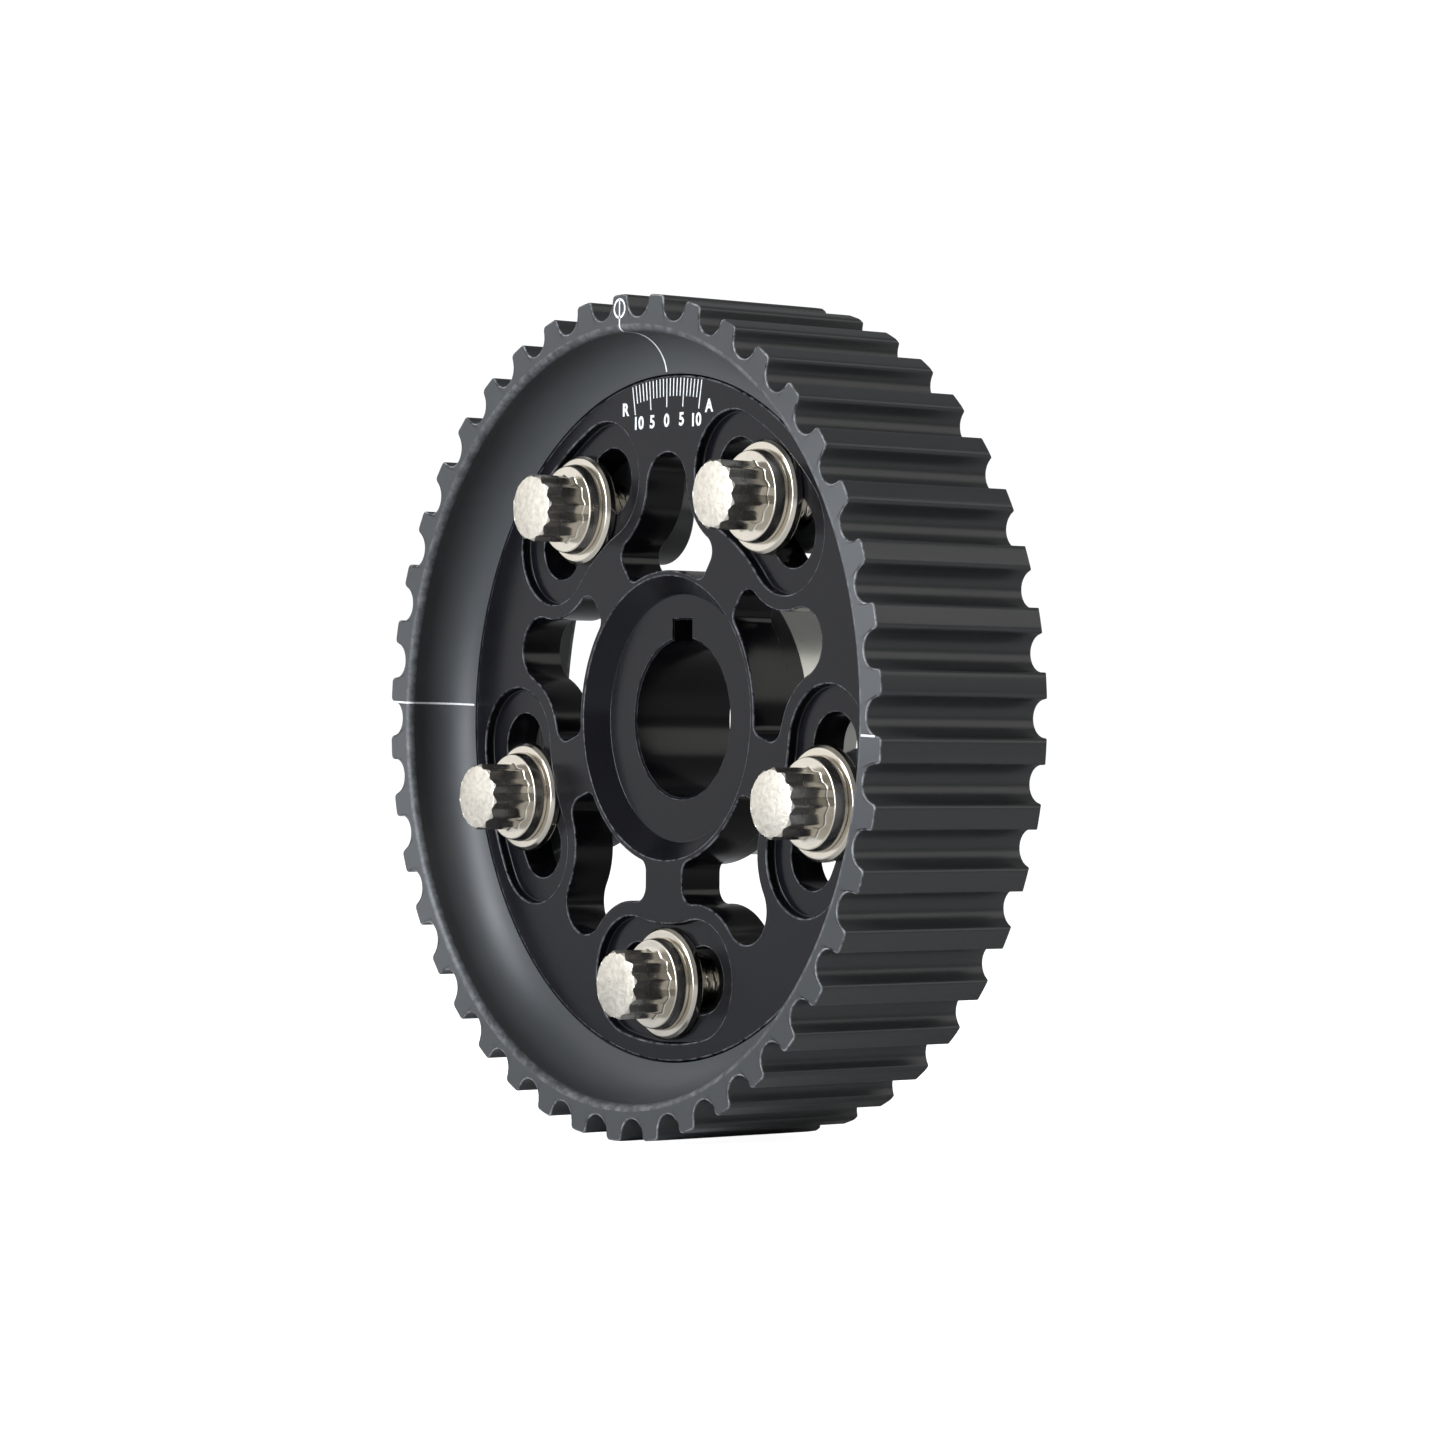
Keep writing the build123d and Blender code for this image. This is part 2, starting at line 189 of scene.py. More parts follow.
def solid(name, sheets, flats=()):
    """A closed mesh piece from sheets of points and from flat faces between loops of their points.

    Points that coincide are welded, and the faces are then turned outwards together.
    """
    points, triangles, start = [], [], 0
    for sheet in sheets:
        rows, columns = sheet.shape[:2]
        points.append(sheet.reshape(-1, 4))
        triangles.append(sheet_triangles(rows, columns, start))
        start += rows * columns
    for loops in flats:
        joined = np.concatenate(loops)
        filled = tessellate_polygon([[Vector(p[:3]) for p in loop] for loop in loops])
        points.append(joined)
        triangles.append(np.array(filled) + start)
        start += len(joined)
    points, triangles = np.concatenate(points), np.concatenate(triangles)
    grid = np.round(points[:, :3] / WELD).astype(np.int64)
    keys, first, same = np.unique(grid, axis=0, return_index=True, return_inverse=True)
    wear = np.zeros(len(keys))
    np.maximum.at(wear, same.reshape(-1), points[:, 3])
    triangles = same.reshape(-1)[triangles]
    a, b, c = triangles.T
    triangles = triangles[(a != b) & (b != c) & (c != a)]
    mesh = bpy.data.meshes.new(name)
    mesh.from_pydata(points[first, :3].tolist(), [], triangles.tolist())
    mesh.attributes.new("wear", "FLOAT", "POINT").data.foreach_set("value", wear.astype(np.float32))
    face_outwards(mesh)
    mesh.polygons.foreach_set("use_smooth", np.ones(len(mesh.polygons), bool))
    mesh.set_sharp_from_angle(angle=math.radians(SHARP_ANGLE))
    mesh.update()
    piece = bpy.data.objects.new(name, mesh)
    bpy.context.scene.collection.objects.link(piece)
    return piece


def face_outwards(mesh):
    """Makes the faces of a closed mesh agree and point outwards."""
    work = bmesh.new()
    work.from_mesh(mesh)
    bmesh.ops.recalc_face_normals(work, faces=work.faces)
    work.to_mesh(mesh)
    work.free()


def window_path():
    """One window's outline: collar arc, feet, spoke sides, lobes, bowed ribs and round end."""
    spoke = math.radians(PITCH_ANGLE / 2)
    away_unit = np.array([math.cos(spoke), -math.sin(spoke)])
    along_unit = np.array([math.sin(spoke), math.cos(spoke)])
    pocket = at(BOLT_CIRCLE, PITCH_ANGLE / 2 - ADJUST_ANGLE)
    away, along = pocket @ away_unit, pocket @ along_unit

    def bearing(centre, point):
        d = np.asarray(point) - np.asarray(centre)
        return math.degrees(math.atan2(d[0], d[1]))

    side = -SPOKE_WIDTH / 2 - FOOT_ROUND
    foot = away_unit * side + along_unit * math.sqrt((COLLAR_RADIUS + FOOT_ROUND) ** 2 - side**2)
    side = -SPOKE_WIDTH / 2 - LOBE_ROUND
    short_of_pocket = math.sqrt((RIB_RADIUS + LOBE_ROUND) ** 2 - (away - side) ** 2)
    lobe = away_unit * side + along_unit * (along - short_of_pocket)
    drop = pocket[1] - WINDOW_TOP
    end = (pocket[0] ** 2 + drop**2 - RIB_RADIUS**2) / (2 * (RIB_RADIUS - drop))
    end_centre = np.array([0, WINDOW_TOP - end])
    spoke_bearing = PITCH_ANGLE / 2 + 90
    foot_start = bearing(foot, (0, 0))
    lobe_end = bearing(lobe, pocket)
    rib_start, rib_end = bearing(pocket, lobe), bearing(pocket, end_centre)
    top_start = bearing(end_centre, pocket)
    foot_angle = bearing((0, 0), foot)
    left = np.array([-1, 1])
    right_side = [
        ((0, 0), -COLLAR_RADIUS, 0, foot_angle, 14),
        (foot, FOOT_ROUND, foot_start + 360, spoke_bearing, 14),
        (lobe, LOBE_ROUND, spoke_bearing, lobe_end, 12),
        (pocket, -RIB_RADIUS, rib_start, rib_end, 24),
        (end_centre, end, top_start, 0, 18),
    ]
    left_side = [
        (np.asarray(c) * left, r, -last, -first, n) for c, r, first, last, n in reversed(right_side)
    ]
    return arc_path(right_side + left_side)


def slot_path(radius):
    """The outline at a radius round the bolt's curved travel: two long arcs and two round ends."""
    turn = ADJUST_ANGLE
    return arc_path(
        [
            ((0, 0), BOLT_CIRCLE + radius, -turn, turn, 28),
            (at(BOLT_CIRCLE, turn), radius, turn, turn + 180, 36),
            ((0, 0), -(BOLT_CIRCLE - radius), turn, -turn, 28),
            (at(BOLT_CIRCLE, -turn), radius, 180 - turn, 360 - turn, 36),
        ]
    )


def bore_path():
    """The bore and its keyway: a circle, two square steps out and the keyway's flat roof."""
    half = KEY_WIDTH / 2
    corner = math.degrees(math.asin(half / BORE_RADIUS))
    roof = np.linspace(-half, half, 13)
    a = np.radians(np.linspace(corner, 360 - corner, 181))
    bore = BORE_RADIUS * np.stack([np.sin(a), np.cos(a)], -1)
    wall = np.linspace(bore[0, 1], KEY_TOP, 5)[1:-1]
    right = np.stack([np.full(3, half), wall[::-1]], -1)
    top = np.stack([roof, np.full(13, KEY_TOP)], -1)
    return np.concatenate([top, right, bore, right[::-1] * [-1, 1]])


def ring_of(points, depth, wear=0.0):
    """One row of a sheet, from points at one depth."""
    n = len(points)
    return np.column_stack([points[:, 0], np.full(n, depth), points[:, 1], np.full(n, wear)])


def hub_core():
    """Funnel, sunk face, keyed bore, rear face, boss and collar, as one sheet round the shaft.

    Every row is a closed curve with the same bearings: a circle, or the keyed bore's outline,
    pushed out from the shaft for the bore's bevelled mouths.
    """
    keyed = bore_path()
    distance = np.linalg.norm(keyed, axis=1)
    rays = keyed / distance[:, None]
    front = rounded(
        (FUNNEL_RADIUS + EDGE + SUPPORT, PLATE_FRONT, 0),
        (FUNNEL_RADIUS, PLATE_FRONT, EDGE),
        (FACE_RADIUS, SUNK_FACE, -0.25 * MM),
        (CORE_RADIUS, SUNK_FACE, 0),
    )
    rows = [ring_of(rays * r, y, wear) for r, y, wear in front]
    mouth = rounded(
        (BORE_CHAMFER + SUPPORT, SUNK_FACE, 0),
        (BORE_CHAMFER, SUNK_FACE, 0.06 * MM),
        (0, SUNK_FACE + BORE_CHAMFER, 0.06 * MM),
        (0, BOSS_REAR, REAR_EDGE),
        (REAR_EDGE + SUPPORT, BOSS_REAR, 0),
    )
    rows += [ring_of(rays * (distance + r)[:, None], y, wear) for r, y, wear in mouth]
    back = rounded(
        (CORE_RADIUS, BOSS_REAR, 0),
        (BOSS_RADIUS, BOSS_REAR, EDGE),
        (BOSS_RADIUS, COLLAR_REAR, -REAR_EDGE),
        (COLLAR_BACK_RADIUS, COLLAR_REAR, EDGE),
        (COLLAR_BACK_RADIUS, PLATE_REAR, 0),
    )
    rows += [ring_of(rays * r, y, wear) for r, y, wear in back]
    return np.stack(rows)


def make_hub():
    rim = carried(
        circle(PLATE_RADIUS, 360),
        rounded(
            (-EDGE - SUPPORT, PLATE_FRONT, 0),
            (0, PLATE_FRONT, EDGE),
            (0, PLATE_REAR, EDGE),
            (-EDGE - SUPPORT, PLATE_REAR, 0),
        ),
    )
    window = carried(
        window_path(),
        rounded(
            (EDGE + SUPPORT, PLATE_FRONT, 0),
            (0, PLATE_FRONT, EDGE),
            (0, PLATE_REAR, REAR_EDGE),
            (REAR_EDGE + SUPPORT, PLATE_REAR, 0),
        ),
    )
    step = POCKET_RADIUS - SLOT_RADIUS
    pocket = carried(
        slot_path(SLOT_RADIUS),
        rounded(
            (step + EDGE + SUPPORT, PLATE_FRONT, 0),
            (step, PLATE_FRONT, EDGE),
            (step, POCKET_FLOOR, -INNER_ROUND),
            (0, POCKET_FLOOR, 0.15 * MM),
            (0, PLATE_REAR, REAR_EDGE),
            (REAR_EDGE + SUPPORT, PLATE_REAR, 0),
        ),
    )
    core = hub_core()
    cuts = [turned(PITCH_ANGLE * i, window) for i in range(SPOKES)]
    cuts += [turned(angle, pocket) for angle in BOLT_ANGLES]
    front = [rim[0]] + [cut[0] for cut in cuts] + [core[0]]
    rear = [rim[-1]] + [cut[-1] for cut in cuts] + [core[-1]]
    return solid("hub_plate", [rim, core] + cuts, [front, rear])


hub = make_hub()
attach(hub, "hub")
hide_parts("hub")


def group_of(name, inputs, outputs):
    """An empty node group with named sockets, and its input and output nodes."""
    tree = bpy.data.node_groups.new(name, "ShaderNodeTree")
    for kind, sockets in (("INPUT", inputs), ("OUTPUT", outputs)):
        for label, socket, default in sockets:
            made = tree.interface.new_socket(label, in_out=kind, socket_type=f"NodeSocket{socket}")
            if default is not None:
                made.default_value = default
    return tree, tree.nodes.new("NodeGroupInput"), tree.nodes.new("NodeGroupOutput")


def node(tree, kind, settings=None, **inputs):
    """A shader node with its settings, its inputs given as values or as sockets to link."""
    made = tree.nodes.new(f"ShaderNode{kind}")
    for key, value in (settings or {}).items():
        setattr(made, key, value)
    for key, value in inputs.items():
        by_number = key[0] == "i" and key[1:].isdigit()
        target = made.inputs[int(key[1:]) if by_number else key]
        if isinstance(value, bpy.types.NodeSocket):
            tree.links.new(value, target)
        else:
            target.default_value = value
    return made


def math_node(tree, operation, a, b=0.0, c=0.0):
    """The result socket of one Math node."""
    return node(tree, "Math", {"operation": operation}, i0=a, i1=b, i2=c).outputs[0]


def noise(tree, place, scale, detail, roughness=0.5, dimensions="3D"):
    """The value socket of one Noise texture."""
    inputs = {"Vector": place, "Scale": scale, "Detail": detail, "Roughness": roughness}
    return node(tree, "TexNoise", {"noise_dimensions": dimensions}, **inputs).outputs[0]


def scaled(tree, colour, factor):
    """The socket of a colour made lighter or darker by a factor."""
    return node(tree, "VectorMath", {"operation": "SCALE"}, i0=colour, Scale=factor).outputs[0]


def give(tree, outside, **sockets):
    """Links sockets to the named outputs of a group."""
    for label, socket in sockets.items():
        tree.links.new(socket, outside.inputs[label])


def lathe_marks():
    """Turning marks round the shaft: noise that depends only on radius and depth, as a height.

    Two pitches are added: the tool's fine feed and slow waves of the same direction.
    """
    tree, inside, outside = group_of(
        "lathe marks",
        [("Pitch", "Float", 0.15 * MM), ("Waves", "Float", 0.4)],
        [("Height", "Float", None)],
    )
    place = node(tree, "SeparateXYZ", i0=node(tree, "TexCoord").outputs["Object"])
    x, y, z = place.outputs
    squares = [math_node(tree, "MULTIPLY", side, side) for side in (x, z)]
    radius = math_node(tree, "SQRT", math_node(tree, "ADD", *squares))
    across = math_node(tree, "DIVIDE", radius, inside.outputs["Pitch"])
    down = math_node(tree, "DIVIDE", y, inside.outputs["Pitch"])
    spot = node(tree, "CombineXYZ", i0=across, i1=down).outputs[0]
    fine = noise(tree, spot, 1.0, 2.0, dimensions="2D")
    slow = noise(tree, spot, 0.12, 1.0, dimensions="2D")
    give(tree, outside, Height=math_node(tree, "MULTIPLY_ADD", slow, inside.outputs["Waves"], fine))
    return tree


def worn_anodising():
    """Dyed oxide on aluminium: colour, roughness and height, with pale nicks where edges are worn.

    The mesh's wear value is 1 on broken edges.  Noise eats into it, so the bright line comes and
    goes.
    """
    tree, inside, outside = group_of(
        "worn anodising",
        [
            ("Dye", "Color", (0.03, 0.03, 0.03, 1)),
            ("Bare", "Color", (0.3, 0.3, 0.3, 1)),
            ("Wear", "Float", 0.5),
            ("Roughness", "Float", 0.35),
            ("Marks", "Float", 0.5),
            ("Pitch", "Float", 0.15 * MM),
        ],
        [("Color", "Color", None), ("Roughness", "Float", None), ("Height", "Float", None)],
    )
    place = node(tree, "TexCoord").outputs["Object"]
    marks = node(tree, "Group", {"node_tree": bpy.data.node_groups["lathe marks"]})
    tree.links.new(inside.outputs["Pitch"], marks.inputs["Pitch"])
    cloud = noise(tree, place, 90.0, 4.0, 0.6)
    grain = noise(tree, place, 9000.0, 2.0)
    nicks = noise(tree, place, 700.0, 5.0, 0.7)
    edge = node(tree, "Attribute", {"attribute_name": "wear"}).outputs["Fac"]
    eaten = math_node(tree, "MULTIPLY", edge, math_node(tree, "MULTIPLY_ADD", nicks, 4.0, -1.6))
    eaten = math_node(tree, "MULTIPLY", eaten, inside.outputs["Wear"])
    worn = node(tree, "Clamp", Value=eaten).outputs[0]
    patch = math_node(tree, "MULTIPLY_ADD", cloud, 0.3, 0.85)
    dyed = scaled(tree, inside.outputs["Dye"], patch)
    colour = node(tree, "Mix", {"data_type": "RGBA"}, Factor=worn, A=dyed, B=inside.outputs["Bare"])
    colour = [s for s in colour.outputs if s.type == "RGBA"][0]
    rough = math_node(tree, "MULTIPLY_ADD", cloud, 0.1, inside.outputs["Roughness"])
    rough = math_node(tree, "ADD", rough, -0.05)
    line = math_node(tree, "MULTIPLY", marks.outputs["Height"], inside.outputs["Marks"])
    height = math_node(tree, "MULTIPLY_ADD", grain, 0.12, line)
    give(tree, outside, Color=colour, Roughness=rough, Height=height)
    return tree


def finish(name, bump, constants, values, maker):
    """A material: one group's colour, roughness and height on a Principled surface.

    bump is its strength and its height; the shine is drawn out round the shaft, as turning does.
    """
    material = bpy.data.materials.new(name)
    material.use_nodes = True
    tree = material.node_tree
    surface = tree.nodes["Principled BSDF"]
    for key, value in constants.items():
        surface.inputs[key].default_value = value
    made = node(tree, "Group", {"node_tree": maker}, **values)
    dent = node(tree, "Bump", Strength=bump[0], Distance=bump[1], Height=made.outputs["Height"])
    around = node(tree, "Tangent", {"direction_type": "RADIAL", "axis": "Y"})
    tree.links.new(around.outputs["Tangent"], surface.inputs["Tangent"])
    surface.inputs["Anisotropic Rotation"].default_value = 0.25
    tree.links.new(made.outputs["Color"], surface.inputs["Base Color"])
    tree.links.new(made.outputs["Roughness"], surface.inputs["Roughness"])
    tree.links.new(dent.outputs["Normal"], surface.inputs["Normal"])
    return material


lathe_marks()
anodising = worn_anodising()
black_anodised = finish(
    "black_anodised",
    (0.35, 0.004 * MM),
    {"Metallic": 0.0, "IOR": 1.5, "Specular IOR Level": 0.24, "Anisotropic": 0.3},
    {
        "Dye": (0.0055, 0.0055, 0.0075, 1),
        "Bare": (0.34, 0.34, 0.37, 1),
        "Wear": 0.4,
        "Roughness": 0.2,
        "Marks": 0.5,
        "Pitch": 0.12 * MM,
    },
    anodising,
)
hub.data.materials.append(black_anodised)

# ---------------------------------------------------------------------------------------------
# Sleeve.  A plain ground steel tube pressed over the boss behind the collar.  It is left bright,
# and shows through the windows as a pale band with fine grinding lines round it.
SLEEVE_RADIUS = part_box("boss_sleeve")[1].x
SLEEVE_WALL = SLEEVE_RADIUS - BOSS_RADIUS
SLEEVE_FRONT = COLLAR_REAR + 0.01 * MM
SLEEVE_GAP = 0.02 * MM
SLEEVE_BEVEL = 0.6 * MM
SLEEVE_ROUND = 0.12 * MM
sleeve = solid(
    "ground_sleeve",
    [
        carried(
            circle(BOSS_RADIUS, 240),
            rounded(
                (SLEEVE_GAP, SLEEVE_FRONT, 0),
                (SLEEVE_WALL, SLEEVE_FRONT, 0.15 * MM),
                (SLEEVE_WALL, BOSS_REAR - SLEEVE_BEVEL, SLEEVE_ROUND),
                (SLEEVE_WALL - SLEEVE_BEVEL, BOSS_REAR, SLEEVE_ROUND),
                (SLEEVE_GAP, BOSS_REAR, REAR_EDGE),
                (SLEEVE_GAP, SLEEVE_FRONT, 0),
            ),
        )
    ],
)
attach(sleeve, "hub")
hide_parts("boss_sleeve")


def bright_metal():
    """Bare or plated metal: tint, roughness and height, with turning marks and soft smears."""
    tree, inside, outside = group_of(
        "bright metal",
        [
            ("Tint", "Color", (0.7, 0.7, 0.7, 1)),
            ("Roughness", "Float", 0.2),
            ("Smear", "Float", 0.1),
            ("Marks", "Float", 0.5),
            ("Pitch", "Float", 0.1 * MM),
            ("Peel", "Float", 0.3),
        ],
        [("Color", "Color", None), ("Roughness", "Float", None), ("Height", "Float", None)],
    )
    place = node(tree, "TexCoord").outputs["Object"]
    marks = node(tree, "Group", {"node_tree": bpy.data.node_groups["lathe marks"]})
    tree.links.new(inside.outputs["Pitch"], marks.inputs["Pitch"])
    cloud = noise(tree, place, 260.0, 4.0, 0.6)
    peel = noise(tree, place, 1400.0, 3.0, 0.55)
    tint = scaled(tree, inside.outputs["Tint"], math_node(tree, "MULTIPLY_ADD", cloud, 0.16, 0.92))
    off_middle = math_node(tree, "SUBTRACT", cloud, 0.5)
    spread = math_node(tree, "MULTIPLY", off_middle, inside.outputs["Smear"])
    rough = math_node(tree, "ADD", spread, inside.outputs["Roughness"])
    line = math_node(tree, "MULTIPLY", marks.outputs["Height"], inside.outputs["Marks"])
    height = math_node(tree, "MULTIPLY_ADD", peel, inside.outputs["Peel"], line)
    give(tree, outside, Color=tint, Roughness=rough, Height=height)
    return tree


metal = bright_metal()
ground_steel = finish(
    "ground_steel",
    (0.5, 0.005 * MM),
    {"Metallic": 1.0},
    {
        "Tint": (0.42, 0.42, 0.4, 1),
        "Roughness": 0.3,
        "Smear": 0.15,
        "Marks": 1.0,
        "Pitch": 0.2 * MM,
        "Peel": 0.1,
    },
    metal,
)
sleeve.data.materials.append(ground_steel)

# ---------------------------------------------------------------------------------------------
# Toothed ring.  Turned from bar, with a smooth bowl in front of the plate and a ledge behind it,
# then hobbed with round-bottomed belt grooves.  Its hard anodising is dark grey and satin, and
# the edges of the teeth have pale nicks.  Five threaded lugs stand behind the plate's slots.
TEETH = 42
TIP_RADIUS = ring_high.z
RING_FRONT = ring_low.y
RING_REAR = ring_high.y
GROOVE_DEPTH = 3.4 * MM
GROOVE_RADIUS = 2.75 * MM
TIP_BLEND = 0.75 * MM
TOOTH_END_CHAMFER = 0.5 * MM
TOOTH_EDGE = 0.2 * MM
MOUTH_RADIUS = TIP_RADIUS - 5.5 * MM
MOUTH_LIP = 1.0 * MM
BOWL_RADIUS = 6.4 * MM
PILOT_RADIUS = PLATE_RADIUS + 0.25 * MM
LEDGE_RADIUS = PLATE_RADIUS - 1.9 * MM
LEDGE_FRONT = PLATE_REAR + 0.05 * MM
LEDGE_REAR = LEDGE_FRONT + 4.0 * MM
REAR_BORE = MOUTH_RADIUS - 1.0 * MM
REAR_CORNER = 2.5 * MM
FACE_EDGE = TIP_RADIUS - GROOVE_DEPTH - 0.9 * MM  # where the turned faces meet the toothed wall
LIP_WEAR = 0.3
LUG_RADIUS, LUG_THICK, LUG_HOLE = 8.0 * MM, 9.5 * MM, 4.1 * MM
LUG_FOOT = REAR_BORE + 0.8 * MM
LUG_FRONT = LEDGE_FRONT + 0.02 * MM
LUG_EDGE, LUG_BEVEL, LUG_BREAK = 0.3 * MM, 0.5 * MM, 0.05 * MM


def tooth_path():
    """The belt grooves' outline all round, as points and outward directions.

    Each pitch is a hollow arc between two blends, and a tip land.  A blend's circle touches the tip
    circle from inside and the groove's circle from outside, so its centre is where a circle round
    the shaft meets a circle round the groove.
    """
    centre = TIP_RADIUS - GROOVE_DEPTH + GROOVE_RADIUS
    reach = GROOVE_RADIUS + TIP_BLEND
    blend = TIP_RADIUS - TIP_BLEND
    z = (centre**2 + blend**2 - reach**2) / (2 * centre)
    x = math.sqrt(blend**2 - z**2)
    to_shaft = math.degrees(math.atan2(x, z))
    to_groove = math.degrees(math.atan2(x, z - centre))
    pitch = 360 / TEETH
    points, normals = [], []
    arcs = [
        (0, centre, -GROOVE_RADIUS, 180, to_groove, 7),
        (x, z, TIP_BLEND, to_groove - 180, to_shaft, 6),
        (0, 0, TIP_RADIUS, to_shaft, pitch / 2, 3),
    ]
    for cx, cz, radius, first, last, steps in arcs:
        a = np.radians(np.linspace(first, last, steps + 1))[:-1]
        ray = np.stack([np.sin(a), np.cos(a)], -1)
        points.append(np.array([cx, cz]) + abs(radius) * ray)
        normals.append(ray * np.sign(radius))
    half, half_normals = np.concatenate(points), np.concatenate(normals)
    land = at(TIP_RADIUS, pitch / 2)[None]
    half = np.concatenate([half, land])
    half_normals = np.concatenate([half_normals, land / TIP_RADIUS])
    mirror = np.array([-1, 1])
    tooth = np.concatenate([half[:0:-1] * mirror, half[:-1]])
    tooth_normals = np.concatenate([half_normals[:0:-1] * mirror, half_normals[:-1]])
    a = np.radians(pitch * (np.arange(TEETH) + 0.5))[:, None]
    out = []
    for part in (tooth, tooth_normals):
        px, pz = part[None, :, 0], part[None, :, 1]
        x, z = px * np.cos(a) + pz * np.sin(a), pz * np.cos(a) - px * np.sin(a)
        out.append(np.stack([x, z], -1).reshape(-1, 2))
    return out


def make_ring():
    points, normals = tooth_path()
    wall = rounded(
        (-TOOTH_EDGE - SUPPORT, RING_FRONT, 0),
        (0, RING_FRONT, TOOTH_EDGE),
        (0, RING_REAR, TOOTH_EDGE),
        (-TOOTH_EDGE - SUPPORT, RING_REAR, 0),
    )
    middle = len(wall) // 2
    # Rows just before, at and inside the bevel below, so that it bends the wall where it starts.
    ends = RING_REAR - TOOTH_END_CHAMFER * np.array([1.15, 1.0, 0.75])
    extra = np.column_stack([0 * ends, ends, 0 * ends])
    wall = np.concatenate([wall[:middle], extra, wall[middle:]])
    outer = carried((points, normals), wall)
    # The lathe's bevel at the rear ends of the teeth: no point stands further out than its cone.
    to_end = RING_REAR - outer[..., 1]
    cone = TIP_RADIUS - np.maximum(TOOTH_END_CHAMFER - to_end, 0)
    radius = np.hypot(outer[..., 0], outer[..., 2])
    shrink = np.minimum(1, cone / radius)
    outer[..., 0] *= shrink
    outer[..., 2] *= shrink
    bowl_axis = MOUTH_RADIUS - BOWL_RADIUS
    bowl_depth = PLATE_FRONT - BOWL_RADIUS
    foot = math.degrees(math.acos((PILOT_RADIUS - bowl_axis) / BOWL_RADIUS))
    a = np.radians(np.linspace(0, foot, 22))
    bowl = np.column_stack(
        [bowl_axis + BOWL_RADIUS * np.cos(a), bowl_depth + BOWL_RADIUS * np.sin(a), 0 * a]
    )
    front = rounded(
        (FACE_EDGE, RING_FRONT, 0),
        (MOUTH_RADIUS, RING_FRONT, MOUTH_LIP),
        (MOUTH_RADIUS, bowl_depth, 0),
    )
    back = rounded(
        (PILOT_RADIUS, bowl[-1, 1] + 0.02 * MM, 0),
        (PILOT_RADIUS, LEDGE_FRONT, -0.15 * MM),
        (LEDGE_RADIUS, LEDGE_FRONT, 0.2 * MM),
        (LEDGE_RADIUS, LEDGE_REAR, 0.3 * MM),
        (REAR_BORE, LEDGE_REAR, -REAR_CORNER),
        (REAR_BORE, RING_REAR, MOUTH_LIP),
        (FACE_EDGE, RING_REAR, 0),
    )
    front[:, 2] *= LIP_WEAR
    back[:, 2] *= LIP_WEAR
    inner = np.concatenate([front[:-1], bowl, back])
    bearings = np.arange(len(points)) * 360 / len(points) + 360 / TEETH * 0.5
    start = math.degrees(math.atan2(*points[0])) - bearings[0]
    a = np.radians(bearings + start)
    rays = np.stack([np.sin(a), np.cos(a)], -1)
    inner = np.stack([ring_of(rays * r, y, wear) for r, y, wear in inner])
    whole = np.concatenate([outer[::-1], inner, outer[-1:]])
    return solid("toothed_ring", [whole])


def make_lug(number, angle):
    """A lug: a bar with a round nose, its foot in the ring, and a bevelled hole.

    The hole is left plain, a little wider than the bolt's thread, which hides it.  Each row is the
    bar's outline or the hole's circle, and both take the same bearings from the hole's axis.
    """
    reach = LUG_FOOT - BOLT_CIRCLE
    outline, outward = arc_path([((0, 0), LUG_RADIUS, 90, 270, 48)])
    side = np.linspace(0, 1, 9)[1:, None]
    right = np.array([[LUG_RADIUS, 0]]) + side * np.array([[0, reach]])
    top = np.array([[LUG_RADIUS, reach]]) + side * np.array([[-2 * LUG_RADIUS, 0]])
    left = np.array([[-LUG_RADIUS, reach]]) - side * np.array([[0, reach]])
    points = np.concatenate([right, top, left[:-1], outline[::-1]])
    directions = np.concatenate(
        [np.tile([1, 0], (8, 1)), np.tile([0, 1], (8, 1)), np.tile([-1, 0], (7, 1)), outward[::-1]]
    )
    front, rear = LUG_FRONT, LEDGE_FRONT + LUG_THICK
    walls = carried(
        (points, directions),
        rounded(
            (-LUG_EDGE - SUPPORT, front, 0),
            (0, front, LUG_EDGE),
            (0, rear, LUG_EDGE),
            (-LUG_EDGE - SUPPORT, rear, 0),
        ),
    )
    bearing = np.arctan2(points[:, 0], points[:, 1])
    rays = np.stack([np.sin(bearing), np.cos(bearing)], -1)
    bore = rounded(
        (LUG_HOLE + LUG_BEVEL + SUPPORT, rear, 0),
        (LUG_HOLE + LUG_BEVEL, rear, LUG_BREAK),
        (LUG_HOLE, rear - LUG_BEVEL, LUG_BREAK),
        (LUG_HOLE, front + LUG_BEVEL, LUG_BREAK),
        (LUG_HOLE + LUG_BEVEL, front, LUG_BREAK),
        (LUG_HOLE + LUG_BEVEL + SUPPORT, front, 0),
    )
    bore = np.stack([ring_of(rays * r, y, wear) for r, y, wear in bore])
    whole = np.concatenate([walls, bore, walls[:1]])
    whole[..., 2] += BOLT_CIRCLE
    return solid(f"ring_lug_{number}", [turned(angle, whole)])


ring = make_ring()
lugs = [make_lug(i, angle) for i, angle in enumerate(BOLT_ANGLES, 1)]
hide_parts("ring_gear")
grey_anodised = finish(
    "grey_hard_anodised",
    (0.5, 0.006 * MM),
    {"Metallic": 0.0, "IOR": 1.5, "Specular IOR Level": 0.6, "Anisotropic": 0.85},
    {
        "Dye": (0.043, 0.046, 0.049, 1),
        "Bare": (0.36, 0.36, 0.37, 1),
        "Wear": 0.9,
        "Roughness": 0.4,
        "Marks": 0.8,
        "Pitch": 0.16 * MM,
    },
    anodising,
)
for piece in (ring, *lugs):
    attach(piece, "ring")
    piece.data.materials.append(grey_anodised)

